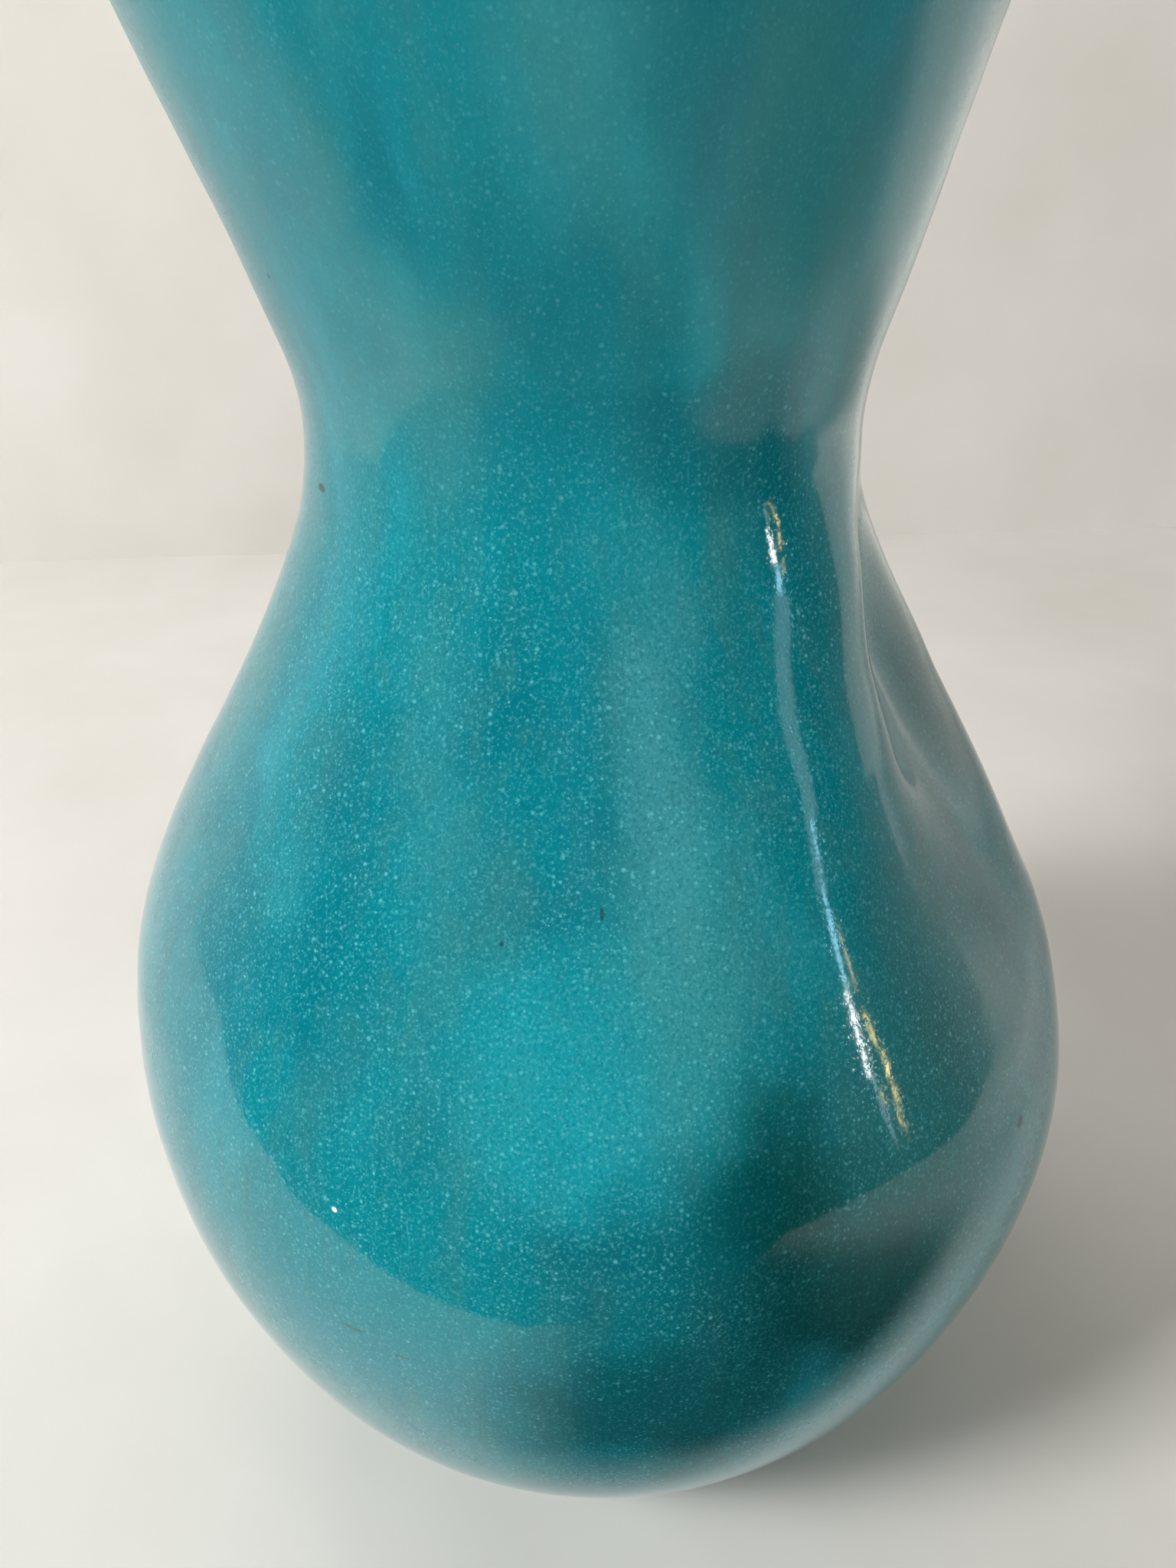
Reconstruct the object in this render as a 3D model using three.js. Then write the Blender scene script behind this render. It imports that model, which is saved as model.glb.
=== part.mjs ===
// A pinched faience vase: round belly, narrow waist and an upper body that flares to a wide mouth.
// Millimetres, +Z up, origin on the table under the middle of the foot, front towards -Y.
// Bearings are measured round the axis from the front towards +X.

import * as THREE from "three";

// Heights, stacked from the table up
const FOOT_HEIGHT = 6;
const BELLY_HEIGHT = 86;
const SHOULDER_HEIGHT = 110;
const FLARE_HEIGHT = 104;

// Outline of the glazed surface
const FOOT_RADIUS = 49;
const BELLY_RADIUS = 85;
const BELLY_UNDER_DEPTH = 101.5;
const SHOULDER_FULLNESS = 0.14;
const WAIST_RADIUS = 41.5;
const WAIST_BEND_RADIUS = 35;
const FLARE_ANGLE = THREE.MathUtils.degToRad(18);

// The two dents that were pressed into the soft shoulder
const DENT_DEPTH = 10;
const DENT_BEARINGS = [72, 252].map(THREE.MathUtils.degToRad);
const DENT_SPREAD = THREE.MathUtils.degToRad(13.5);
const DENT_TOP_BELOW_WAIST = 4;
const DENT_DEEPEST_BELOW_WAIST = 40;
const DENT_LENGTH = 116;

// Thicknesses, the walls and coats measured level
const WALL = 5.5;
const FLOOR = 8;
const COAT = 0.6;
const SLIP = 0.8;
const FOOT_RING_WIDTH = 8;
const FOOT_RING_CHAMFER = 0.8;
const LAP_HEIGHT = 5;
const BARE_FOOT_EDGE = 2.5;

// Clearance between a coat and the clay that it covers
const FIT = 0.3;

// Fineness of the round surfaces
const SEGMENTS = 40;
const UNDER_ROWS = 5;
const SHOULDER_ROWS = 10;
const BEND_ROWS = 2;
const FLARE_ROWS = 3;
const LIP_STEPS = 3;

// Levels and insets that follow from the sizes above
const waistLevel = BELLY_HEIGHT + SHOULDER_HEIGHT;
const rimLevel = waistLevel + FLARE_HEIGHT;
const undersideLevel = FOOT_HEIGHT + SLIP;
const floorLevel = undersideLevel + FLOOR;
const clayInset = COAT + FIT;
const insideInset = clayInset + WALL;
const liningInset = insideInset + FIT;
const innerInset = liningInset + COAT;
const lipHalfWidth = innerInset / 2;
const lipLevel = rimLevel - lipHalfWidth;

// Outline of the turned form

// Radius of the glazed outside at a level, before the dents.
function outsideRadius(level) {
  const above = level - BELLY_HEIGHT;
  if (above <= 0) {
    return BELLY_RADIUS * Math.sqrt(1 - (above / BELLY_UNDER_DEPTH) ** 2);
  }
  if (above <= SHOULDER_HEIGHT) {
    const share = above / SHOULDER_HEIGHT;
    const turn = Math.PI * share - SHOULDER_FULLNESS * Math.sin(Math.PI * share);
    return WAIST_RADIUS + (BELLY_RADIUS - WAIST_RADIUS) * (1 + Math.cos(turn)) / 2;
  }
  const rise = above - SHOULDER_HEIGHT;
  const bendRise = WAIST_BEND_RADIUS * Math.sin(FLARE_ANGLE);
  if (rise <= bendRise) {
    return WAIST_RADIUS + WAIST_BEND_RADIUS - Math.sqrt(WAIST_BEND_RADIUS ** 2 - rise ** 2);
  }
  const bendOut = WAIST_BEND_RADIUS * (1 - Math.cos(FLARE_ANGLE));
  return WAIST_RADIUS + bendOut + (rise - bendRise) * Math.tan(FLARE_ANGLE);
}

// Levels shared by the clay and both coats, so that their faces stay parallel.
function sharedLevels() {
  const levels = [];
  const underAngle = Math.asin((BELLY_HEIGHT - undersideLevel) / BELLY_UNDER_DEPTH);
  for (let row = 1; row < UNDER_ROWS; row += 1) {
    const angle = underAngle * (1 - row / UNDER_ROWS);
    levels.push(BELLY_HEIGHT - BELLY_UNDER_DEPTH * Math.sin(angle));
  }
  for (let row = 0; row < SHOULDER_ROWS; row += 1) {
    levels.push(BELLY_HEIGHT + SHOULDER_HEIGHT * row / SHOULDER_ROWS);
  }
  for (let row = 0; row < BEND_ROWS; row += 1) {
    levels.push(waistLevel + WAIST_BEND_RADIUS * Math.sin(FLARE_ANGLE * row / BEND_ROWS));
  }
  const bendTop = waistLevel + WAIST_BEND_RADIUS * Math.sin(FLARE_ANGLE);
  for (let row = 0; row < FLARE_ROWS; row += 1) {
    levels.push(bendTop + (lipLevel - bendTop) * row / FLARE_ROWS);
  }
  return levels;
}

// The wall line from one level up to another, drawn in from the glazed outside by an inset.
function wallLine(inset, from, to) {
  const between = sharedLevels().filter((level) => level > from && level < to);
  return [from, ...between, to].map(
    (level) => new THREE.Vector2(outsideRadius(level) - inset, level),
  );
}

// A quarter of the rounded lip, from the outside (0) or the inside (1) up to the crest.
// The inset is the distance in from the glazed lip, and shy keeps the end off the crest.
function lipArc(side, inset, shy) {
  const radius = lipHalfWidth - inset;
  const centre = outsideRadius(lipLevel) - lipHalfWidth;
  const sweep = Math.PI / 2 - shy / radius;
  const points = [];
  for (let step = 1; step <= LIP_STEPS; step += 1) {
    const angle = sweep * step / LIP_STEPS;
    const out = side === 0 ? radius * Math.cos(angle) : -radius * Math.cos(angle);
    points.push(new THREE.Vector2(centre + out, lipLevel + radius * Math.sin(angle)));
  }
  return points;
}

// How far the soft wall was pushed in at a bearing and a level.
function dentPush(bearing, level) {
  const top = waistLevel - DENT_TOP_BELOW_WAIST;
  const deepest = waistLevel - DENT_DEEPEST_BELOW_WAIST;
  const bottom = top - DENT_LENGTH;
  const along = THREE.MathUtils.smoothstep(level, bottom, deepest)
    * (1 - THREE.MathUtils.smoothstep(level, deepest, top));
  let across = 0;
  for (const middle of DENT_BEARINGS) {
    const turned = THREE.MathUtils.euclideanModulo(bearing - middle + Math.PI, 2 * Math.PI);
    const away = Math.abs(turned - Math.PI);
    across += Math.exp(-((away / DENT_SPREAD) ** 2));
  }
  return DENT_DEPTH * along * across;
}

// Solids

// The faces between the turned copies of an outline. Each four-cornered face is split from its
// lower left to its upper right corner, on rising and on falling stretches alike, so that two walls
// that face each other over a small gap are split the same way and keep the gap in the dents.
function turnedFaces(outline) {
  const faces = [];
  for (let segment = 0; segment < SEGMENTS; segment += 1) {
    for (let row = 0; row < outline.length - 1; row += 1) {
      const here = segment * outline.length + row;
      const next = here + outline.length;
      if (outline[row + 1].y > outline[row].y) {
        faces.push(here, next, next + 1, here, next + 1, here + 1);
      } else {
        faces.push(here, next, here + 1, next + 1, here + 1, next);
      }
    }
  }
  return faces;
}

// Turns an outline round the axis and presses the dents into it.
function turnedSolid(name, outline, material) {
  const geometry = new THREE.LatheGeometry(outline, SEGMENTS);
  geometry.setIndex(turnedFaces(outline));
  geometry.rotateX(Math.PI / 2);
  const position = geometry.getAttribute("position");
  for (let index = 0; index < position.count; index += 1) {
    const x = position.getX(index);
    const y = position.getY(index);
    const radius = Math.hypot(x, y);
    if (radius > 0) {
      const push = dentPush(Math.atan2(x, -y), position.getZ(index));
      position.setX(index, x * (radius - push) / radius);
      position.setY(index, y * (radius - push) / radius);
    }
  }
  geometry.computeVertexNormals();
  const mesh = new THREE.Mesh(geometry, material);
  mesh.name = name;
  return mesh;
}

const point = (radius, level) => new THREE.Vector2(radius, level);
const closed = (points) => [...points, points[0].clone()];

// Materials

const clay = new THREE.MeshStandardMaterial({ color: 0xcdb894, roughness: 0.85, metalness: 0 });
const slipClay = new THREE.MeshStandardMaterial({ color: 0xbfa985, roughness: 0.9, metalness: 0 });
const turquoiseGlaze = new THREE.MeshStandardMaterial({ color: 0x23858a, roughness: 0.12, metalness: 0 });
const liningGlaze = new THREE.MeshStandardMaterial({ color: 0x3a979b, roughness: 0.18, metalness: 0 });

// The stepped lap at the waist, half way through the wall
const lapRadius = WAIST_RADIUS - clayInset - WALL / 2;
const lapTop = waistLevel + LAP_HEIGHT;
const spigotRadius = lapRadius - SLIP / 2 - FIT;
const socketRadius = lapRadius + SLIP / 2 + FIT;

// Lower half: the bulb with its floor. Its inner half rises as a spigot above the outer step.
function lowerBody() {
  const outside = wallLine(clayInset, undersideLevel, waistLevel);
  const inside = wallLine(insideInset, floorLevel, lapTop).reverse();
  const step = [point(spigotRadius, waistLevel), point(spigotRadius, lapTop)];
  const outline = [point(0, undersideLevel), ...outside, ...step, ...inside, point(0, floorLevel)];
  return turnedSolid("lower_body", outline, clay);
}

// Upper half: the flare with its lip. Its socket drops over the spigot.
function upperBody() {
  const outside = wallLine(clayInset, waistLevel + SLIP, lipLevel);
  const lip = [...lipArc(0, clayInset, 0), ...lipArc(1, clayInset, 0).reverse().slice(1)];
  const inside = wallLine(insideInset, lapTop + SLIP, lipLevel).reverse();
  const step = [point(socketRadius, lapTop + SLIP), point(socketRadius, waistLevel + SLIP)];
  return turnedSolid("upper_body", closed([...outside, ...lip, ...inside, ...step]), clay);
}

// Slip between the halves: a flange on the outer step, a leg up the spigot and a flange on its top.
function waistSlip() {
  const outline = closed([
    point(lapRadius - SLIP / 2, waistLevel),
    point(outsideRadius(waistLevel) - clayInset, waistLevel),
    point(outsideRadius(waistLevel + SLIP) - clayInset, waistLevel + SLIP),
    point(lapRadius + SLIP / 2, waistLevel + SLIP),
    point(lapRadius + SLIP / 2, lapTop + SLIP),
    point(outsideRadius(lapTop + SLIP) - insideInset, lapTop + SLIP),
    point(outsideRadius(lapTop) - insideInset, lapTop),
    point(lapRadius - SLIP / 2, lapTop),
  ]);
  return turnedSolid("waist_slip", outline, slipClay);
}

// Turned foot ring, bare clay, with its bottom edges wiped to a chamfer.
const footInnerRadius = FOOT_RADIUS - clayInset - FOOT_RING_WIDTH;
function footRing() {
  const outer = FOOT_RADIUS - clayInset;
  const outline = closed([
    point(footInnerRadius + FOOT_RING_CHAMFER, 0),
    point(outer - FOOT_RING_CHAMFER, 0),
    point(outer, FOOT_RING_CHAMFER),
    point(outer, FOOT_HEIGHT),
    point(footInnerRadius, FOOT_HEIGHT),
    point(footInnerRadius, FOOT_RING_CHAMFER),
  ]);
  return turnedSolid("foot_ring", outline, clay);
}

// Flat ring of slip between the foot ring and the underside of the bulb.
function footSlip() {
  const outer = FOOT_RADIUS - clayInset;
  const outline = closed([
    point(footInnerRadius, FOOT_HEIGHT),
    point(outer, FOOT_HEIGHT),
    point(outer, undersideLevel),
    point(footInnerRadius, undersideLevel),
  ]);
  return turnedSolid("foot_slip", outline, slipClay);
}

// Coat outside: up the foot ring, out under the belly, up the wall and over the outer half of the lip.
function outerGlaze() {
  const underCoat = undersideLevel - clayInset;
  const underClay = undersideLevel - FIT;
  const outside = [...wallLine(0, underCoat, lipLevel), ...lipArc(0, 0, FIT / 2)];
  const inside = [...wallLine(COAT, underClay, lipLevel), ...lipArc(0, COAT, FIT / 2)].reverse();
  const outline = closed([
    point(FOOT_RADIUS - COAT, BARE_FOOT_EDGE),
    point(FOOT_RADIUS, BARE_FOOT_EDGE),
    point(FOOT_RADIUS, underCoat),
    ...outside,
    ...inside,
    point(FOOT_RADIUS - COAT, underClay),
  ]);
  return turnedSolid("outer_glaze", outline, turquoiseGlaze);
}

// Coat inside: over the floor, up the wall and over the inner half of the lip.
function innerGlaze() {
  const clayLip = lipArc(1, COAT, FIT / 2);
  const openLip = lipArc(1, 0, FIT / 2).reverse();
  const claySide = [...wallLine(liningInset, floorLevel + FIT, lipLevel), ...clayLip];
  const openSide = wallLine(innerInset, floorLevel + FIT + COAT, lipLevel).reverse();
  const outline = [
    point(0, floorLevel + FIT),
    ...claySide,
    ...openLip,
    ...openSide,
    point(0, floorLevel + FIT + COAT),
  ];
  return turnedSolid("inner_glaze", outline, liningGlaze);
}

// Disc of glaze on the underside, inside the foot ring.
function undersideGlaze() {
  const edge = footInnerRadius - FIT;
  const outline = [
    point(0, undersideLevel - COAT),
    point(edge, undersideLevel - COAT),
    point(edge, undersideLevel),
    point(0, undersideLevel),
  ];
  return turnedSolid("underside_glaze", outline, liningGlaze);
}

const vase = new THREE.Group();
vase.add(lowerBody());
vase.add(upperBody());
vase.add(waistSlip());
vase.add(footRing());
vase.add(footSlip());
vase.add(outerGlaze());
vase.add(innerGlaze());
vase.add(undersideGlaze());

export default vase;
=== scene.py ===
# A pinched faience vase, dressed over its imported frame.
# Metres, +Z up, front towards -Y. Bearings go round the axis from the front towards +X.
import math
from functools import partial

import bpy
from mathutils import Matrix, Vector


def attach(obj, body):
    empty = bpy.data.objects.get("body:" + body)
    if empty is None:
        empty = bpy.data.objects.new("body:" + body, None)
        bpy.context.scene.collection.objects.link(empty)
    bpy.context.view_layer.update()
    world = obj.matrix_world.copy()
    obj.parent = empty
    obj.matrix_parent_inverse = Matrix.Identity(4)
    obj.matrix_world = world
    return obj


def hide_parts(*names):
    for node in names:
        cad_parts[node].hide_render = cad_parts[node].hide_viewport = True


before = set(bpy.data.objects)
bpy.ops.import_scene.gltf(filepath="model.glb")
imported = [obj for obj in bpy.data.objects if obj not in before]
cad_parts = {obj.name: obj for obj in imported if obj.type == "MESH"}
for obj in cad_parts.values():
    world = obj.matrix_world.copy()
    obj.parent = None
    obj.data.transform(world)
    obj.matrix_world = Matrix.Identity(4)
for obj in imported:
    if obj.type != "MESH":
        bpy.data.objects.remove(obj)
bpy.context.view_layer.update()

scene = bpy.context.scene
scene.view_settings.view_transform = "Standard"

# Camera
# A wide lens close to the vase, in front of it and 30 degrees above level, turned and rolled by a
# degree or two.

image_size = (1536, 2048)
lens_in_pixels = 1539
camera_place = (0, -0.1831, 0.2344)
camera_turn, camera_tilt, camera_roll = (math.radians(angle) for angle in (0.21, 60, -1.78))
camera_data = bpy.data.cameras.new("camera")
camera_data.sensor_width = 36
camera_data.lens = camera_data.sensor_width * lens_in_pixels / max(image_size)
camera_data.clip_start = 0.01
camera = bpy.data.objects.new("camera", camera_data)
camera.matrix_world = (Matrix.Translation(camera_place) @ Matrix.Rotation(camera_turn, 4, "Z")
                       @ Matrix.Rotation(camera_tilt, 4, "X") @ Matrix.Rotation(camera_roll, 4, "Z"))
scene.collection.objects.link(camera)
scene.camera = camera

# Floor and wall
# A plain pale floor and a plain pale wall close behind the vase. A sheet of the same finish lies just
# over the floor and only the glaze mirrors it: its outline gives the pale bands on the belly their edge.

air_colour = (1, 0.965, 0.91, 1)
air_strength = 0.85


def add_node(tree, kind, inputs=None, output=0, **settings):
    """Adds a node, sets its settings, links or sets its inputs, and gives one of its outputs."""
    step = tree.nodes.new(kind)
    for name, value in settings.items():
        setattr(step, name, value)
    for name, value in (inputs or {}).items():
        socket = step.inputs[name]
        if isinstance(value, bpy.types.NodeSocket):
            tree.links.new(value, socket)
        else:
            socket.default_value = value
    return step.outputs[output]


def math_node(tree, operation, *values):
    """One arithmetic step."""
    return add_node(tree, "ShaderNodeMath", dict(enumerate(values)), operation=operation)


def product(tree, *values):
    """All the values multiplied together."""
    result = values[0]
    for value in values[1:]:
        result = math_node(tree, "MULTIPLY", result, value)
    return result


def straight_step(tree, value, start, end, low=0.0, high=1.0, kind="LINEAR"):
    """Goes from low at the start to high at the end, and stays level beyond them."""
    sizes = {"Value": value, "From Min": start, "From Max": end, "To Min": low, "To Max": high}
    return add_node(tree, "ShaderNodeMapRange", sizes, interpolation_type=kind)


def soft_step(tree, value, start, end, low=0.0, high=1.0):
    """A step that is smooth where it leaves low and where it reaches high."""
    return straight_step(tree, value, start, end, low, high, "SMOOTHSTEP")


def split(tree, vector):
    """The X, Y and Z of a vector."""
    parts = tree.nodes.new("ShaderNodeSeparateXYZ")
    tree.links.new(vector, parts.inputs[0])
    return parts.outputs


def blend(tree, factor, first, second):
    """Mixes two colours: the first where the factor is 0, the second where it is 1."""
    tones = [tone if isinstance(tone, bpy.types.NodeSocket) else (*tone, 1) for tone in (first, second)]
    sockets = {0: factor, 6: tones[0], 7: tones[1]}
    return add_node(tree, "ShaderNodeMix", sockets, output=2, data_type="RGBA")


def two_tones(tree, value, first, second):
    """The first colour up to 0.3 of the value, the second from 0.7 on, and a straight mix between them."""
    ramp = tree.nodes.new("ShaderNodeValToRGB")
    for element, position, tone in zip(ramp.color_ramp.elements, (0.3, 0.7), (first, second)):
        element.position = position
        element.color = (*tone, 1)
    tree.links.new(value, ramp.inputs["Fac"])
    return ramp.outputs["Color"]


def new_material(name):
    """A material with its shader node, ready to be fed."""
    material = bpy.data.materials.new(name)
    material.use_nodes = True
    tree = material.node_tree
    return material, tree, tree.nodes["Principled BSDF"]


def plain_finish():
    """A plain pale matt finish with the faintest of clouds in it."""
    material, tree, shader = new_material("pale_finish")
    place = add_node(tree, "ShaderNodeTexCoord", output="Object")
    x, y, _ = split(tree, place)
    rays = tree.nodes.new("ShaderNodeLightPath").outputs
    clouds = add_node(tree, "ShaderNodeTexNoise", {"Vector": place, "Scale": 9.0, "Detail": 3.0})
    tone = two_tones(tree, clouds, (0.72, 0.695, 0.65), (0.78, 0.76, 0.725))

    # The glaze mirrors a painted shadow on the floor close in front of the vase, and painted light far to
    # its right.
    painted_shadow_depth, painted_light_strength = 0.97, 0.34
    dark = product(tree, soft_step(tree, x, -0.060, 0.0), soft_step(tree, x, 0.24, 0.12),
                   soft_step(tree, y, -0.060, -0.095), rays["Is Glossy Ray"], painted_shadow_depth)
    tree.links.new(blend(tree, dark, tone, (0.01, 0.01, 0.01)), shader.inputs["Base Color"])
    shader.inputs["Roughness"].default_value = 0.9
    shader.inputs["Specular IOR Level"].default_value = 0.2
    bump = add_node(tree, "ShaderNodeBump", {"Height": clouds, "Strength": 0.35, "Distance": 0.01})
    tree.links.new(bump, shader.inputs["Normal"])
    lit = product(tree, soft_step(tree, x, 0.24, 0.36), soft_step(tree, y, -0.12, -0.02),
                  soft_step(tree, y, 0.26, 0.13), rays["Is Glossy Ray"], painted_light_strength)
    glow = add_node(tree, "ShaderNodeEmission", {"Color": air_colour, "Strength": lit})
    surface = add_node(tree, "ShaderNodeAddShader", {0: shader.outputs[0], 1: glow})

    # Far from the vase the camera sees floor and wall fade into the plain air behind them.
    distance = add_node(tree, "ShaderNodeVectorMath", {0: place}, output="Value", operation="LENGTH")
    far_off = product(tree, soft_step(tree, distance, 0.72, 1.15), rays["Is Camera Ray"])
    air = add_node(tree, "ShaderNodeEmission", {"Color": air_colour, "Strength": air_strength})
    faded = add_node(tree, "ShaderNodeMixShader", {0: far_off, 1: surface, 2: air})
    tree.links.new(faded, tree.nodes["Material Output"].inputs["Surface"])
    return material


pale_finish = plain_finish()


def flat_sheet(name, corners):
    """A flat many-cornered sheet of the pale finish."""
    mesh = bpy.data.meshes.new(name)
    mesh.from_pydata(corners, [], [range(len(corners))])
    mesh.materials.append(pale_finish)
    sheet = bpy.data.objects.new(name, mesh)
    scene.collection.objects.link(sheet)
    return sheet


def show_only_in_glaze(sheet):
    """Leaves a sheet nothing but its reflections."""
    sheet.visible_camera = sheet.visible_diffuse = sheet.visible_shadow = False


sheet_level = -0.0001
ground_level = -0.0002
ground_reach = 4
wall_depth = 0.517
wall_foot = -0.001
wall_top = 1.4
wall_reach = 1.2
sheet_corners = [
    (-0.9, wall_depth), (-0.9, -0.05), (-0.519, -0.102), (-0.264, -0.143), (-0.174, -0.167),
    (-0.089, -0.180), (-0.045, -0.185), (0.060, -0.245), (0.222, -0.335), (0.346, -0.299),
    (0.407, -0.229), (0.416, -0.123), (0.575, 0.0), (0.560, 0.075), (0.540, 0.130), (0.565, 0.165),
    (0.616, 0.207), (0.742, 0.253), (0.886, 0.275), (1.2, 0.42), (1.2, wall_depth),
]
square = [(-1, -1), (1, -1), (1, 1), (-1, 1)]
show_only_in_glaze(flat_sheet("mirrored_sheet", [(x, y, sheet_level) for x, y in sheet_corners]))
floor = flat_sheet("floor", [(ground_reach * x, ground_reach * y, ground_level) for x, y in square])
floor.visible_glossy = False
flat_sheet("wall", [(wall_reach * x, wall_depth, wall_top if y > 0 else wall_foot) for x, y in square])

# Light
# One soft lamp from the left, weak wide ones from the front and from above, and a pale room all round.
# A lit sheet behind the vase on the right and narrow strips, which only the glaze mirrors, light its
# right flank and give it its long highlight.

lamps = (
    # Name, place, aim, size, watts and colour
    ("key", (-1.23, -0.70, 1.20), (0, 0, 0.12), 0.45, 27, (1, 1, 1)),
    ("fill", (0.15, -1.2, 0.55), (0, 0, 0.12), 0.8, 4.4, (1, 0.96, 0.9)),
    ("overhead", (-0.35, 0.30, 1.3), (0, 0, 0.1), 0.5, 3, (1, 1, 1)),
)
for name, place, aim, size, watts, tint in lamps:
    lamp = bpy.data.lights.new(name, "AREA")
    lamp.shape = "SQUARE"
    lamp.size = size
    lamp.energy = watts
    lamp.color = tint
    holder = bpy.data.objects.new(name, lamp)
    holder.location = place
    away = Vector(aim) - Vector(place)
    holder.rotation_euler = away.to_track_quat("-Z", "Y").to_euler()
    holder.visible_camera = holder.visible_glossy = False
    scene.collection.objects.link(holder)


def light_room():
    """A pale room that lights the vase a little. The glaze mirrors it dim in front and bright behind."""
    room = bpy.data.worlds.new("room")
    scene.world = room
    room.use_nodes = True
    tree = room.node_tree
    tree.nodes.clear()
    rays = tree.nodes.new("ShaderNodeLightPath").outputs
    to_right, to_back, _ = split(tree, add_node(tree, "ShaderNodeTexCoord", output="Generated"))
    behind = straight_step(tree, to_back, -0.2, 0.33, 0.03, 0.85)
    mirrored = product(tree, behind, straight_step(tree, to_right, 0.2, 0.8, 1.0, 0.55))
    shed_light = 0.165
    unseen = add_node(tree, "ShaderNodeMix",
                      {"Factor": rays["Is Glossy Ray"], "A": shed_light, "B": mirrored})
    strength = add_node(tree, "ShaderNodeMix",
                        {"Factor": rays["Is Camera Ray"], "A": unseen, "B": air_strength})
    air = add_node(tree, "ShaderNodeBackground", {"Color": air_colour, "Strength": strength})
    tree.links.new(air, tree.nodes.new("ShaderNodeOutputWorld").inputs["Surface"])


light_room()
vase_middle = 0.13


def lit_ribbon(name, points):
    """A ribbon through pairs of edge points, and its empty material's node tree."""
    mesh = bpy.data.meshes.new(name)
    mesh.from_pydata(points, [], [(i, i + 1, i + 3, i + 2) for i in range(0, len(points) - 2, 2)])
    ribbon = bpy.data.objects.new(name, mesh)
    scene.collection.objects.link(ribbon)
    glow = bpy.data.materials.new(name)
    glow.use_nodes = True
    glow.node_tree.nodes.clear()
    mesh.materials.append(glow)
    show_only_in_glaze(ribbon)
    return glow.node_tree


def side_sheet(radius, start, end, low, high, strength, lean):
    """A lit curved sheet between bearings and elevations. High up, its front edge leans forward."""
    steps = 24
    room_to_lean = 8
    first = start - room_to_lean
    points = []
    for step in range(steps + 1):
        turn = math.radians(first + (end - first) * step / steps)
        for tilt in (low, high):
            rise = radius * math.tan(math.radians(tilt))
            points.append((radius * math.sin(turn), -radius * math.cos(turn), vase_middle + rise))
    tree = lit_ribbon("side_sheet", points)
    x, y, z = split(tree, add_node(tree, "ShaderNodeTexCoord", output="Object"))

    def between_bearings(value, first, last):
        return soft_step(tree, value, math.tan(math.radians(first - 90)), math.tan(math.radians(last - 90)))

    def between_elevations(first, last):
        return soft_step(tree, z, vase_middle + radius * math.tan(math.radians(first)),
                         vase_middle + radius * math.tan(math.radians(last)))

    # Every edge fades over some degrees.
    back = math_node(tree, "DIVIDE", y, x)
    leaned = math_node(tree, "ADD", back, product(tree, between_elevations(-3, 2), lean))
    front_fade, back_fade, low_fade, high_fade = 3, 9, 6, 8
    level = product(
        tree, strength, between_bearings(leaned, start, start + front_fade),
        between_bearings(back, end, end - back_fade), between_elevations(low, low + low_fade),
        between_elevations(high, high - high_fade))
    light = add_node(tree, "ShaderNodeEmission", {"Color": (1, 0.94, 0.86, 1), "Strength": level})
    clear = add_node(tree, "ShaderNodeBsdfTransparent")
    both = add_node(tree, "ShaderNodeAddShader", {0: light, 1: clear})
    tree.links.new(both, tree.nodes.new("ShaderNodeOutputMaterial").inputs["Surface"])


side_sheet(radius=0.42, start=101, end=150, low=-9.5, high=18, strength=0.75, lean=0.16)


def light_strip(name, path, width, strength, tint):
    """A narrow far-off strip of light along directions."""
    far = 6
    points = []
    for bearing, elevation in path:
        for edge in (-width / 2, width / 2):
            turn, tilt = math.radians(bearing + edge), math.radians(elevation)
            points.append((far * math.cos(tilt) * math.sin(turn), -far * math.cos(tilt) * math.cos(turn),
                           vase_middle + far * math.sin(tilt)))
    tree = lit_ribbon(name, points)
    light = add_node(tree, "ShaderNodeEmission", {"Color": (*tint, 1), "Strength": strength})
    tree.links.new(light, tree.nodes.new("ShaderNodeOutputMaterial").inputs["Surface"])


strips = (
    # Name, bearings and elevations along the strip, width in degrees, strength and colour
    ("strip_foot", [(66, -9), (66, -4)], 0.7, 5, (0.6, 0.85, 1)),
    ("strip_white", [(65.5, -4), (66, 4)], 1.2, 30, (1, 1, 1)),
    ("strip_blue", [(66.6, 4.5), (66.8, 13)], 1.5, 14, (0.4, 0.78, 1)),
    ("strip_dim", [(67, 12), (67.5, 18), (66, 27)], 5.5, 1.9, (0.7, 0.88, 1)),
    ("strip_warm_1", [(68.8, 7.5), (69.6, 3)], 0.5, 12, (1, 0.85, 0.4)),
    ("strip_warm_2", [(69.6, 0.5), (70.2, -2.5)], 1.0, 16, (1, 0.8, 0.3)),
    ("strip_warm_3", [(71.2, -3.6), (70.7, -5.6)], 1.2, 20, (1, 0.8, 0.3)),
    ("strip_warm_4", [(71, -6.4), (70.2, -7.5), (69, -8.6)], 0.8, 13, (1, 0.8, 0.3)),
    ("strip_warm_5", [(67.3, -5.6), (66.9, -6.8)], 0.7, 10, (1, 0.8, 0.3)),
    ("strip_faint", [(49, 23), (44, 17), (38, 10)], 1.2, 0.5, (0.8, 0.95, 1)),
)
for strip in strips:
    light_strip(*strip)

# lower_body
# The thrown bulb of buff faience clay with its floor. Two dents were pressed into its soft shoulder,
# opposite each other, and its upper edge is cut to a step that the upper half sits on.

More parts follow.
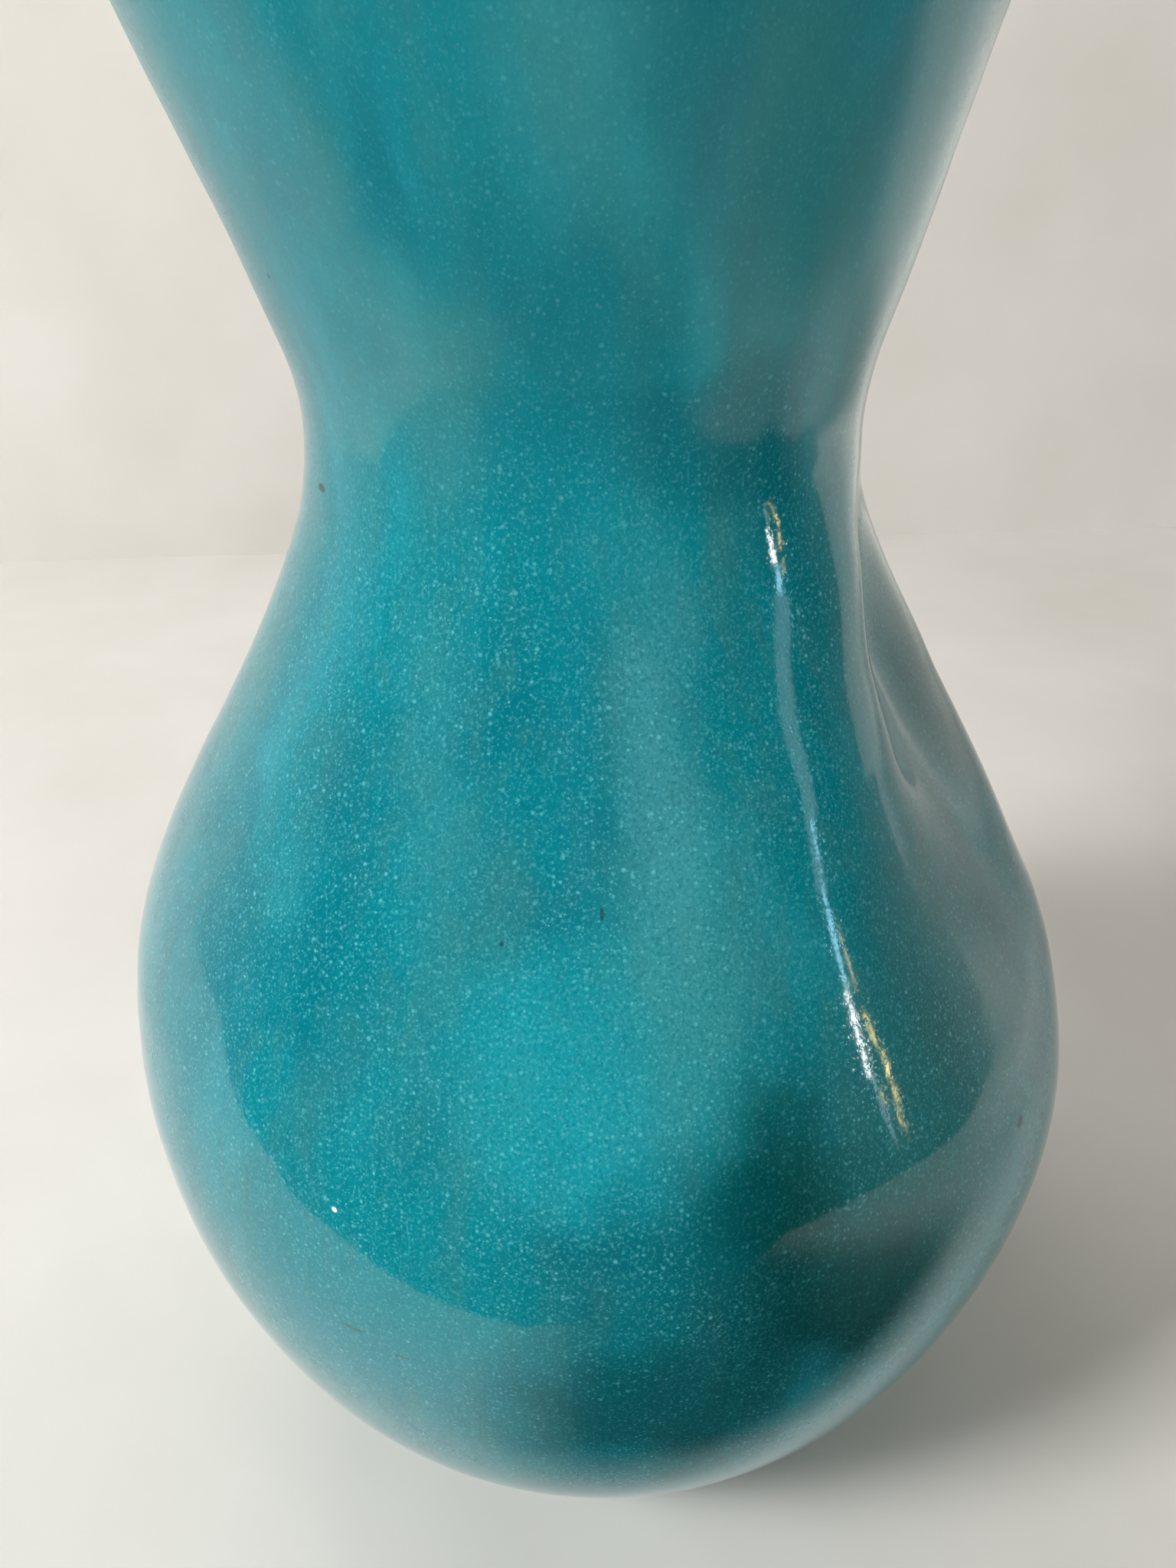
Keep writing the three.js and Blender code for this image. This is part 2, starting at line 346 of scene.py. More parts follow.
mm = 0.001
foot_height = 6 * mm
belly_level = 86 * mm
shoulder_height = 110 * mm
flare_height = 104 * mm
belly_radius = 85 * mm
belly_under_depth = 101.5 * mm
shoulder_fullness = 0.14
waist_radius = 41.5 * mm
waist_bend_radius = 35 * mm
flare_angle = math.radians(18)
wall_thickness = 5.5 * mm
floor_thickness = 8 * mm
coat = 0.6 * mm
slip_thickness = 0.8 * mm
fit = 0.3 * mm
lap_height = 5 * mm
small_rounding = 0.3 * mm
hidden_row = 4 * mm

waist_level = belly_level + shoulder_height
rim_level = waist_level + flare_height
underside_level = foot_height + slip_thickness
floor_level = underside_level + floor_thickness
clay_inset = coat + fit
inside_inset = clay_inset + wall_thickness
lap_radius = waist_radius - clay_inset - wall_thickness / 2
lap_top = waist_level + lap_height
spigot_radius = lap_radius - slip_thickness / 2 - fit


def outside_radius(level):
    """Radius of the glazed outside at a level, before the dents."""
    above = level - belly_level
    if above <= 0:
        return belly_radius * math.sqrt(1 - (above / belly_under_depth) ** 2)
    if above <= shoulder_height:
        share = above / shoulder_height
        turn = math.pi * share - shoulder_fullness * math.sin(math.pi * share)
        return waist_radius + (belly_radius - waist_radius) * (1 + math.cos(turn)) / 2
    rise = above - shoulder_height
    bend_rise = waist_bend_radius * math.sin(flare_angle)
    if rise <= bend_rise:
        return waist_radius + waist_bend_radius - math.sqrt(waist_bend_radius ** 2 - rise ** 2)
    bend_out = waist_bend_radius * (1 - math.cos(flare_angle))
    return waist_radius + bend_out + (rise - bend_rise) * math.tan(flare_angle)


def wall_line(inset, low, high, row=1.6 * mm):
    """Points up the wall from one level to another, drawn in from the glazed outside, a row apart."""
    points = [(outside_radius(low) - inset, low)]
    level = low
    while level < high:
        slope = (outside_radius(level + 0.1 * mm) - outside_radius(level)) / (0.1 * mm)
        level = min(level + row / math.hypot(1, slope), high)
        points.append((outside_radius(level) - inset, level))
    return points


def rounded(corners, steps=6):
    """A line through corners (radius, level, rounding), each corner rounded by its own radius."""
    line = []
    for index, (radius, level, rounding) in enumerate(corners):
        if rounding == 0 or index in (0, len(corners) - 1):
            line.append((radius, level))
            continue
        before, after = corners[index - 1], corners[index + 1]
        to_before = (before[0] - radius, before[1] - level)
        to_after = (after[0] - radius, after[1] - level)
        length_before, length_after = math.hypot(*to_before), math.hypot(*to_after)
        to_before = (to_before[0] / length_before, to_before[1] / length_before)
        to_after = (to_after[0] / length_after, to_after[1] / length_after)
        half = math.acos(max(-1, min(1, to_before[0] * to_after[0] + to_before[1] * to_after[1]))) / 2
        reach = min(rounding / math.tan(half), 0.48 * length_before, 0.48 * length_after)
        start = (radius + to_before[0] * reach, level + to_before[1] * reach)
        end = (radius + to_after[0] * reach, level + to_after[1] * reach)
        for step in range(steps + 1):
            t = step / steps
            line.append(tuple((1 - t) ** 2 * a + 2 * t * (1 - t) * c + t * t * b
                              for a, c, b in zip(start, (radius, level), end)))
    return line


# What the turned wall is given: the kind of each input and its usual value.
wall_inputs = {
    "Segments": ("Int", 160),
    "Dent Depth": ("Float", 10 * mm),
    "Dent Spread": ("Float", math.radians(13.5)),
    "Dent Flank": ("Float", math.radians(28.5)),
    "Ridge Height": ("Float", 1.6 * mm),
    "Roll Height": ("Float", 1.3 * mm),
    "Dent Bearing": ("Float", math.radians(72)),
    "Dent Bottom": ("Float", 76 * mm),
    "Dent Deepest": ("Float", 156 * mm),
    "Dent Top": ("Float", 192 * mm),
    "Wave Height": ("Float", 0.2 * mm),
    "Ring Height": ("Float", 0.0),
    "Drift": ("Float", 1.0),
    "Edge Wave": ("Float", 0.0),
    "Seed": ("Float", 4.0),
    "Finish": ("Material", None),
}


def turned_wall_tree():
    """Turns an outline round the axis, presses the two dents into it and leaves the hand's small waves."""
    tree = bpy.data.node_groups.new("turned wall", "GeometryNodeTree")
    face = tree.interface
    face.new_socket(name="Outline", in_out="INPUT", socket_type="NodeSocketGeometry")
    identifiers = {}
    for name, (kind, _) in wall_inputs.items():
        socket = face.new_socket(name=name, in_out="INPUT", socket_type="NodeSocket" + kind)
        identifiers[name] = socket.identifier
    face.new_socket(name="Wall", in_out="OUTPUT", socket_type="NodeSocketGeometry")
    given = tree.nodes.new("NodeGroupInput").outputs
    node, calc, times, ease = (partial(step, tree) for step in (add_node, math_node, product, soft_step))

    # Every point of a grid stands for a point of the outline, its row, at a bearing, its column.
    count = node("GeometryNodeAttributeDomainSize", {"Geometry": given["Outline"]}, "Point Count")
    columns = calc("ADD", given["Segments"], 1)
    grid = node("GeometryNodeMeshGrid",
                {"Size X": 1, "Size Y": 1, "Vertices X": columns, "Vertices Y": count})
    index = node("GeometryNodeInputIndex")
    row = calc("MODULO", index, count)
    column = calc("FLOOR", calc("DIVIDE", index, count))
    bearing = times(calc("DIVIDE", column, given["Segments"]), 2 * math.pi)
    outline_place = node("GeometryNodeInputPosition")
    on_outline = node("GeometryNodeSampleIndex",
                      {"Geometry": given["Outline"], "Value": outline_place, "Index": row},
                      "Value", data_type="FLOAT_VECTOR")
    radius, _, level = split(tree, on_outline)

    def bell(offset, width):
        """1 in the middle, falling off softly to both sides."""
        share = calc("DIVIDE", offset, width)
        return calc("EXPONENT", times(share, share, -1))

    # Each dent has a long soft flank on its front side low down, and the clay it pushed up stands over it.
    low_down = ease(level, 185 * mm, 115 * mm)
    widening = calc("SUBTRACT", given["Dent Flank"], given["Dent Spread"])
    flank = calc("ADD", given["Dent Spread"], times(low_down, widening))
    ridge_offset, ridge_spread = math.radians(20), math.radians(17)
    across = ridge = 0.0
    for opposite in (0, math.pi):
        away = calc("SUBTRACT", calc("SUBTRACT", bearing, given["Dent Bearing"]), opposite)
        away = calc("WRAP", away, math.pi, -math.pi)
        front_side = calc("LESS_THAN", away, 0)
        back_side = calc("SUBTRACT", 1, front_side)
        spread = calc("ADD", times(front_side, flank), times(back_side, given["Dent Spread"]))
        across = calc("ADD", across, bell(away, spread))
        ridge = calc("ADD", ridge, bell(calc("ADD", away, ridge_offset), ridge_spread))
    over_bottom = ease(level, given["Dent Bottom"], given["Dent Deepest"])
    under_top = calc("SUBTRACT", 1, ease(level, given["Dent Deepest"], given["Dent Top"]))
    ridge_level = times(ease(level, 162 * mm, 180 * mm), ease(level, 200 * mm, 184 * mm))
    push = calc("SUBTRACT", times(given["Dent Depth"], times(over_bottom, under_top, across)),
                times(given["Ridge Height"], times(ridge_level, ridge)))

    # A low roll of clay lies over the front of the shoulder, where the hand closed the waist.
    roll_bearing, roll_spread = math.radians(31), math.radians(18)
    roll_level = times(ease(level, 174 * mm, 196 * mm), ease(level, 236 * mm, 200 * mm))
    roll = bell(calc("SUBTRACT", calc("WRAP", bearing, math.pi, -math.pi), roll_bearing), roll_spread)
    push = calc("SUBTRACT", push, times(given["Roll Height"], times(roll_level, roll)))

    # The hand leaves small waves, and inside the vase finger rings. Both die out at the foot.
    sine, cosine = calc("SINE", bearing), calc("COSINE", bearing)
    pattern_radius = 60 * mm
    around = node("ShaderNodeCombineXYZ",
                  {0: times(sine, pattern_radius), 1: times(cosine, -pattern_radius), 2: level})
    ripple = node("ShaderNodeTexNoise",
                  {"Vector": around, "W": given["Seed"], "Scale": 22.0, "Detail": 1.0},
                  noise_dimensions="4D")
    above_foot = ease(level, 8 * mm, 30 * mm)
    waves = times(calc("SUBTRACT", ripple, 0.5), 2, times(given["Wave Height"], above_foot))
    ring_spacing = 8.5 * mm
    ring_height = times(level, 2 * math.pi / ring_spacing)
    ring_phase = calc("ADD", ring_height, calc("ADD", bearing, times(ripple, 5)))
    rings = times(calc("SINE", ring_phase), times(given["Ring Height"], above_foot))

    def by_level(points):
        """Offset that follows the level, drawn through points (level, offset) in millimetres."""
        full_offset = 4
        curve = tree.nodes.new("ShaderNodeFloatCurve")
        line = curve.mapping.curves[0]
        line.points[0].location = (0, 0.5)
        line.points[1].location = (1, 0.5)
        for height, offset in points:
            line.points.new(height * mm / rim_level, 0.5 + offset / full_offset)
        curve.mapping.update()
        tree.links.new(calc("DIVIDE", level, rim_level), curve.inputs["Value"])
        return times(calc("SUBTRACT", curve.outputs[0], 0.5), full_offset * mm)

    # The wall wanders sideways as it rises, and swells and narrows a little.
    wander = by_level([(30, 0.3), (57, 0.8), (90, 0.8), (106, 0.0), (126, -1.2), (142, -1.0), (160, -0.2),
                       (188, 0.0), (208, 0.8), (232, 0.1), (250, -0.4), (272, -0.2)])
    swell = by_level([(30, 0.0), (50, 0.0), (72, 0.3), (98, 0.3), (126, -0.4), (146, -0.1), (168, 0.7),
                      (188, 0.0), (207, 0.4), (225, 0.1), (270, 0.0)])
    uneven = calc("ADD", calc("ADD", waves, rings), times(swell, given["Drift"]))
    uneven = times(uneven, ease(radius, 0.0, 20 * mm))
    pressed = calc("SUBTRACT", radius, calc("MINIMUM", push, radius))
    final_radius = calc("MAXIMUM", calc("ADD", pressed, uneven), 0)

    # A poured coat ends in an uneven edge at the foot.
    edge_noise = node("ShaderNodeTexNoise", {"Vector": around, "W": 3.7, "Scale": 60.0, "Detail": 2.0},
                      noise_dimensions="4D")
    at_edge = calc("SUBTRACT", 1, ease(level, 3 * mm, 5.5 * mm))
    edge = times(calc("SUBTRACT", edge_noise, 0.5), given["Edge Wave"], at_edge)
    x = calc("ADD", times(final_radius, sine), times(wander, given["Drift"]))
    y = times(final_radius, cosine, -1)
    placed = node("ShaderNodeCombineXYZ", {0: x, 1: y, 2: calc("ADD", level, edge)})
    turned = node("GeometryNodeSetPosition", {"Geometry": grid, "Position": placed})
    joined = node("GeometryNodeMergeByDistance", {"Geometry": turned, "Distance": 1e-6})
    smooth = node("GeometryNodeSetShadeSmooth", {"Geometry": joined, "Shade Smooth": True})
    gentle = calc("LESS_THAN", node("GeometryNodeInputMeshEdgeAngle"), math.radians(50))
    crisp = node("GeometryNodeSetShadeSmooth", {"Geometry": smooth, "Shade Smooth": gentle}, domain="EDGE")
    real = node("GeometryNodeRealizeInstances", {"Geometry": crisp})
    finished = node("GeometryNodeSetMaterial", {"Geometry": real, "Material": given["Finish"]})
    tree.links.new(finished, tree.nodes.new("NodeGroupOutput").inputs["Wall"])
    return tree, identifiers


wall_tree, wall_identifiers = turned_wall_tree()


def turned_piece(name, outline, finish, slot, **changes):
    """Turns an outline into a plain mesh that stands for a CAD node. Changes are to the wall's inputs."""
    points = [(radius, 0, level) for radius, level in outline]
    mesh = bpy.data.meshes.new(name + "_outline")
    mesh.from_pydata(points, [(i, i + 1) for i in range(len(points) - 1)], [])
    source = bpy.data.objects.new(name + "_outline", mesh)
    scene.collection.objects.link(source)
    turning = source.modifiers.new("turned wall", "NODES")
    turning.node_group = wall_tree
    values = {label: usual for label, (_, usual) in wall_inputs.items()}
    values["Finish"] = finish
    for label, value in changes.items():
        values[label.replace("_", " ").title()] = value
    for label, value in values.items():
        turning[wall_identifiers[label]] = value
    bpy.context.view_layer.update()
    depsgraph = bpy.context.evaluated_depsgraph_get()
    plain = bpy.data.meshes.new_from_object(source.evaluated_get(depsgraph), depsgraph=depsgraph)
    source.modifiers.remove(turning)
    bpy.data.objects.remove(source)
    plain.name = name
    piece = bpy.data.objects.new(name + "_turned", plain)
    scene.collection.objects.link(piece)
    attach(piece, "root")
    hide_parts(name)


def fired_clay(name, tone, grit):
    """Bare fired earthenware: buff, matt, with sandy grain and a few iron specks."""
    material, tree, shader = new_material(name)
    place = add_node(tree, "ShaderNodeTexCoord", output="Object")
    clouds = add_node(tree, "ShaderNodeTexNoise", {"Vector": place, "Scale": 90.0, "Detail": 4.0})
    grain = add_node(tree, "ShaderNodeTexNoise", {"Vector": place, "Scale": 2200.0, "Detail": 2.0})
    darker = [channel * 0.78 for channel in tone]
    colour = two_tones(tree, product(tree, math_node(tree, "ADD", clouds, grain), 0.5), darker, tone)
    from_speck = add_node(tree, "ShaderNodeTexVoronoi", {"Vector": place, "Scale": 420}, "Distance")
    colour = blend(tree, straight_step(tree, from_speck, 0.16, 0.10), colour, (0.16, 0.08, 0.04))
    tree.links.new(colour, shader.inputs["Base Color"])
    tree.links.new(straight_step(tree, grain, 0, 1, 0.75, 0.95), shader.inputs["Roughness"])
    bump = add_node(tree, "ShaderNodeBump", {"Height": grain, "Strength": grit, "Distance": 0.2 * mm})
    tree.links.new(bump, shader.inputs["Normal"])
    return material


clay_finish = fired_clay("fired_clay", (0.61, 0.48, 0.30), 0.8)
spigot = rounded([
    (outside_radius(waist_level) - clay_inset, waist_level, 0),
    (spigot_radius, waist_level, small_rounding),
    (spigot_radius, lap_top, small_rounding),
    (outside_radius(lap_top) - inside_inset, lap_top, 0),
])
lower_outline = [(0, underside_level)]
lower_outline += wall_line(clay_inset, underside_level, waist_level, hidden_row) + spigot[1:-1]
lower_outline += wall_line(inside_inset, floor_level, lap_top, hidden_row)[::-1] + [(0, floor_level)]
turned_piece("lower_body", lower_outline, clay_finish, "clay")

# upper_body
# The flared upper half of the same buff clay, thrown by itself, with its rounded lip. Its socket drops
# over the step of the lower half and is luted there with slip.

lining_inset = inside_inset + fit
inner_inset = lining_inset + coat
lip_half_width = inner_inset / 2
lip_level = rim_level - lip_half_width
outer_side, inner_side = 1, -1
socket_radius = lap_radius + slip_thickness / 2 + fit
socket_edge = waist_level + slip_thickness
socket_floor = lap_top + slip_thickness


def lip_arc(side, inset, steps=9):
    """A quarter of the rounded lip, from its outer or inner side up to the crest."""
    radius = lip_half_width - inset
    centre = outside_radius(lip_level) - lip_half_width
    angles = [math.pi / 2 * step / steps for step in range(1, steps + 1)]
    return [(centre + side * radius * math.cos(angle), lip_level + radius * math.sin(angle))
            for angle in angles]


upper_outline = wall_line(clay_inset, socket_edge, lip_level, hidden_row)
upper_outline += lip_arc(outer_side, clay_inset) + lip_arc(inner_side, clay_inset)[::-1][1:]
upper_outline += wall_line(inside_inset, socket_floor, lip_level, hidden_row)[::-1]
upper_outline += rounded([
    (outside_radius(socket_floor) - inside_inset, socket_floor, 0),
    (socket_radius, socket_floor, small_rounding),
    (socket_radius, socket_edge, small_rounding),
    (*upper_outline[0], 0),
])[1:]
turned_piece("upper_body", upper_outline, clay_finish, "clay")

# waist_slip
# The layer of fired slip that lutes the two halves: a flange on the outer step, a leg up the spigot and
# a flange on its top.

slip_finish = fired_clay("fired_slip", (0.52, 0.40, 0.24), 0.3)
leg_inside = lap_radius - slip_thickness / 2
leg_outside = lap_radius + slip_thickness / 2
slip_outline = [
    (leg_inside, waist_level),
    (outside_radius(waist_level) - clay_inset, waist_level),
    (outside_radius(socket_edge) - clay_inset, socket_edge),
    (leg_outside, socket_edge),
    (leg_outside, socket_floor),
    (outside_radius(socket_floor) - inside_inset, socket_floor),
    (outside_radius(lap_top) - inside_inset, lap_top),
    (leg_inside, lap_top),
    (leg_inside, waist_level),
]
turned_piece("waist_slip", slip_outline, slip_finish, "slip")

# foot_ring
# The turned ring of bare buff clay that the vase stands on. Its bottom edges are wiped round and it is
# luted to the underside of the bulb.

foot_radius = 49 * mm
foot_ring_width = 8 * mm
foot_outer = foot_radius - clay_inset
foot_inner = foot_outer - foot_ring_width
foot_middle = foot_inner + foot_ring_width / 2
wiped = 0.8 * mm
foot_outline = rounded([
    (foot_middle, 0, 0),
    (foot_outer, 0, wiped),
    (foot_outer, foot_height, 0),
    (foot_inner, foot_height, 0),
    (foot_inner, 0, wiped),
    (foot_middle, 0, 0),
])
turned_piece("foot_ring", foot_outline, clay_finish, "clay", segments=200)

# foot_slip
# The flat layer of fired slip between the foot ring and the underside of the bulb, which lutes them
# together.

foot_slip_outline = [
    (foot_inner, foot_height),
    (foot_outer, foot_height),
    (foot_outer, underside_level),
    (foot_inner, underside_level),
    (foot_inner, foot_height),
]
turned_piece("foot_slip", foot_slip_outline, slip_finish, "slip", segments=200)

# outer_glaze
# The turquoise coat outside, from the crest of the lip to just above the foot's bare edge. It was
# poured, so it hangs in soft upright streaks, is full of fine pale specks, and pools where it ran.
# Some of its darker and paler patches are painted shade and painted reflections.


def glaze(name, deep, bright, light, dull, speck, speck_amount, softer_above=0.0, patches=(), marks=(),
          dull_hollows=()):
    """Turquoise glaze: upright streaks, veils and pools, painted shade and reflections, pale specks and pin
    spots under a smooth gloss.
    """
    material, tree, shader = new_material(name)
    steps = (add_node, math_node, product, soft_step, blend)
    node, calc, times, ease, mix = (partial(step, tree) for step in steps)
    place = node("ShaderNodeTexCoord", output="Object")
    height = split(tree, place)["Z"]

    def noise(scale, detail=2.0, draw=1.0, move=(0, 0, 0)):
        """Noise drawn out upwards, the more so the smaller the draw, and moved aside."""
        drawn = node("ShaderNodeMapping", {"Vector": place, "Scale": (1, 1, draw), "Location": move})
        return node("ShaderNodeTexNoise", {"Vector": drawn, "Scale": scale, "Detail": detail})

    # Streaks and fine grain on the bulb, broader clouds above the waist.
    lively = ease(height, 215 * mm, 175 * mm, 0.3, 1.0)
    cloudy = calc("SUBTRACT", 1, lively)
    mottle = noise(900, 2.0, 0.7)
    layers = (
        # Pattern, the values it starts and is full at, its strength and tone, and where it shows
        (noise(62, 2.5, 0.13), 0.48, 0.66, 0.65, light, 1),
        (noise(78, 2.5, 0.12, (0.3, 0.1, 0)), 0.47, 0.66, 0.6, deep, 1),
        (noise(70, 2.5, 0.16, (0.1, 0.6, 0)), 0.5, 0.7, 0.55, dull, 1),
        (noise(30, 3.0, 0.5, (0.7, 0, 0.2)), 0.48, 0.78, 0.35, deep, 1),
        (noise(240, 2.0, 0.10, (0.5, 0.2, 0)), 0.46, 0.7, 0.4, dull, lively),
        (noise(600, 2.0, 0.10, (0.8, 0.4, 0)), 0.5, 0.8, 0.35, deep, lively),
        (mottle, 0.5, 0.8, 0.3, deep, 1),
        (noise(95, 4.0, 0.45, (0.2, 0.2, 0.9)), 0.42, 0.72, 0.55, deep, cloudy),
        (noise(120, 4.0, 0.45, (0.6, 0.1, 0.3)), 0.45, 0.75, 0.45, dull, cloudy),
    )
    colour = bright
    for pattern, start, full, strength, tone, where in layers:
        colour = mix(times(ease(pattern, start, full, 0, strength), where), colour, tone)

    def shaken(scale, detail, reach):
        """The place, shifted to and fro by noise, so that what is drawn on it has an uneven edge."""
        shake = node("ShaderNodeTexNoise", {"Vector": place, "Scale": scale, "Detail": detail}, "Color")
        shake = node("ShaderNodeVectorMath", {0: shake, 1: (0.5, 0.5, 0.5)}, operation="SUBTRACT")
        shake = node("ShaderNodeVectorMath", {0: shake, 1: [r * mm for r in reach]}, operation="MULTIPLY")
        return node("ShaderNodeVectorMath", {0: shake, 1: place}, operation="ADD")

    def within(where, centre, reach, full):
        """1 inside an egg-shaped region, in millimetres, fading to 0 at its edge."""
        away = node("ShaderNodeVectorMath", {0: where, 1: [c * mm for c in centre]}, operation="SUBTRACT")
        away = node("ShaderNodeVectorMath", {0: away, 1: [r * mm for r in reach]}, operation="DIVIDE")
        return ease(node("ShaderNodeVectorMath", {0: away}, "Value", operation="LENGTH"), 1.0, full)

    # The stronger a dark patch, pooled glaze and painted shade alike, the less its specks show.
    wobbled = shaken(60.0, 2.0, (9, 9, 30))
    buried = 0.0
    for centre, reach, strength, tone in patches:
        patch_amount = times(within(wobbled, centre, reach, 0.15), strength)
        colour = mix(patch_amount, colour, tone)
        if tone[1] < deep[1] / 2:
            buried = calc("MAXIMUM", buried, patch_amount)
    shown = times(lively, calc("SUBTRACT", 1, times(buried, 0.85)))
    dark_grain = noise(2000, 3.0, 0.8, (0.4, 0, 0.3))
    pale_grain = noise(2300, 2.0, 0.8, (0, 0.7, 0.1))
    colour = mix(times(ease(dark_grain, 0.46, 0.66, 0, 0.38), shown), colour, deep)
    colour = mix(times(ease(pale_grain, 0.5, 0.7, 0, 0.22), shown), colour, speck)

    ragged = shaken(2600.0, 1.0, (0.22, 0.22, 0.22))

    def specks(scale, size, amount, move):
        """Ragged round specks of many sizes and strengths."""
        spots = tree.nodes.new("ShaderNodeTexVoronoi")
        spots.inputs["Scale"].default_value = scale
        moved = node("ShaderNodeMapping", {"Vector": ragged, "Location": move})
        tree.links.new(moved, spots.inputs["Vector"])
        pick = tree.nodes.new("ShaderNodeSeparateColor")
        tree.links.new(spots.outputs["Color"], pick.inputs[0])
        reach = times(ease(pick.outputs[0], 1 - amount, 1.0, 0.45, 1.0), size)
        present = calc("GREATER_THAN", pick.outputs[0], 1 - amount)
        spot = ease(spots.outputs["Distance"], reach, times(reach, 0.3))
        return times(spot, present, straight_step(tree, pick.outputs[1], 0, 1, 0.25, 1.0))

    # Scale, size, amount, place and strength of the fine, the middling and the large specks
    kinds_of_speck = (
        (2100, 0.5, 0.6, (0, 0, 0), 0.63),
        (1400, 0.5, 0.5, (0.21, 0.13, 0.07), 0.9),
        (800, 0.36, 0.4, (0.11, 0.05, 0.02), 1),
    )
    all_specks = 0.0
    for scale, size, amount, move, strength in kinds_of_speck:
        all_specks = calc("MAXIMUM", all_specks, times(specks(scale, size, amount, move), strength))
    crowd = noise(60, 3.0, 0.5, (0.2, 0.9, 0.4))
    all_specks = times(all_specks, times(ease(crowd, 0.32, 0.6, 0.45, 1.0), shown))
    colour = mix(times(all_specks, speck_amount), colour, speck)
    pins = specks(95, 0.045, 0.5, (0.31, 0.12, 0.4))
    colour = mix(times(pins, 0.85), colour, (0.02, 0.03, 0.03))
    for centre, reach, strength, tone in marks:
        colour = mix(times(within(place, centre, reach, 0.6), strength), colour, tone)
    tree.links.new(colour, shader.inputs["Base Color"])

    # The gloss is softer above the waist and in the hollows of the dents.
    roughness = ease(mottle, 0.3, 0.7, 0.045, 0.08)
    roughness = calc("ADD", roughness, ease(height, 185 * mm, 215 * mm, 0, softer_above))
    for centre, reach in dull_hollows:
        roughness = calc("ADD", roughness, times(within(place, centre, reach, 0.3), 0.15))
    tree.links.new(roughness, shader.inputs["Roughness"])
    shader.inputs["IOR"].default_value = 1.5
    grain = calc("ADD", times(mottle, 0.35), times(all_specks, 0.5))
    bump = node("ShaderNodeBump", {"Height": grain, "Strength": 0.12, "Distance": 0.2 * mm})
    tree.links.new(bump, shader.inputs["Normal"])
    return material


# Patches of the outer coat, some pooled glaze and some painted shade and reflections: centre and reach in
# millimetres, strength, colour.
pools_and_painted_light = [
    # Low on the front and right and under the bulb, darker glaze: partly pooled glaze, partly painted
    # shade.
    ((21, -78, 107), (21, 30, 25), 0.93, (0.0, 0.052, 0.048)),
    ((34, -79, 90), (34, 36, 30), 0.93, (0.0, 0.036, 0.036)),
    ((8, -84, 76), (40, 40, 30), 0.8, (0.0, 0.05, 0.058)),
    ((3, -83, 105), (24, 30, 17), 0.75, (0.0, 0.125, 0.16)),
    ((-6, -75, 127), (26, 30, 26), 0.5, (0.012, 0.38, 0.46)),
    ((13, -66, 138), (16, 30, 30), 0.5, (0.055, 0.35, 0.37)),
    ((9, -55, 162), (8, 30, 42), 0.5, (0.07, 0.33, 0.37)),
    ((-2, -52, 166), (7, 30, 42), 0.5, (0.0, 0.205, 0.27)),
    ((-21, -50, 162), (8, 30, 44), 0.45, (0.04, 0.27, 0.30)),
    ((-34, -56, 140), (9, 34, 50), 0.45, (0.0, 0.15, 0.20)),
    # A painted dark reflection just above the waist, on the right.
    ((17, -38, 197), (24, 30, 13), 0.6, (0.0, 0.12, 0.155)),
    ((-6, -41, 195), (18, 30, 13), 0.5, (0.0, 0.18, 0.235)),
    ((-18, -40, 204), (13, 30, 22), 0.4, (0.07, 0.27, 0.28)),
    ((2, -52, 238), (14, 30, 18), 0.5, (0.04, 0.31, 0.35)),
    ((26, -42, 228), (20, 30, 20), 0.5, (0.03, 0.20, 0.22)),
    # Painted shade, greener and greyer, low on the front of the right flank.
    ((46, -60, 112), (28, 45, 45), 0.55, (0.045, 0.145, 0.133)),
    # Darker glaze in the hollow of each dent: partly pooled glaze, partly painted shade.
    ((58, -4, 148), (24, 20, 40), 0.55, (0.03, 0.07, 0.055)),
    ((-58, 4, 150), (24, 17, 36), 0.35, (0.03, 0.07, 0.055)),
    # A pale painted reflection in the hollow of the dent on the right.
    ((45, -6, 168), (15, 17, 32), 0.42, (0.24, 0.33, 0.31)),
]
# Pin holes, a nick and two scratches.
flaws = [
    ((-36, -21.5, 189.5), (0.9, 3, 0.7), 0.8, (0.02, 0.03, 0.03)),
    ((48.6, 3.2, 167), (1.0, 3, 0.7), 0.8, (0.03, 0.03, 0.03)),
    ((63.6, -54.3, 98.5), (0.8, 2, 1.0), 0.85, (0.02, 0.025, 0.025)),
    ((-12, -63.5, 142.7), (0.4, 2, 0.4), 0.7, (0.02, 0.04, 0.04)),
    ((0.8, -62.5, 146), (0.35, 2, 1.0), 0.7, (0.02, 0.05, 0.06)),
    ((-36, -77, 85.5), (2.4, 3, 0.35), 0.6, (0.05, 0.06, 0.06)),
    ((-29, -80, 83), (1.6, 3, 0.3), 0.6, (0.05, 0.06, 0.06)),
    ((-36.3, -73.6, 106.4), (0.5, 2, 0.5), 0.95, (0.8, 0.85, 0.85)),
]
# The hollows of the two dents: centre and reach.
dent_hollows = [((59, -8, 146), (26, 25, 42)), ((-59, 8, 146), (26, 25, 42))]
outer_finish = glaze(
    "turquoise_glaze", deep=(0.0, 0.150, 0.196), bright=(0.002, 0.225, 0.275), light=(0.015, 0.300, 0.365),
    dull=(0.038, 0.205, 0.218), speck=(0.12, 0.54, 0.60), speck_amount=0.8, softer_above=0.16,
    patches=pools_and_painted_light, marks=flaws, dull_hollows=dent_hollows)

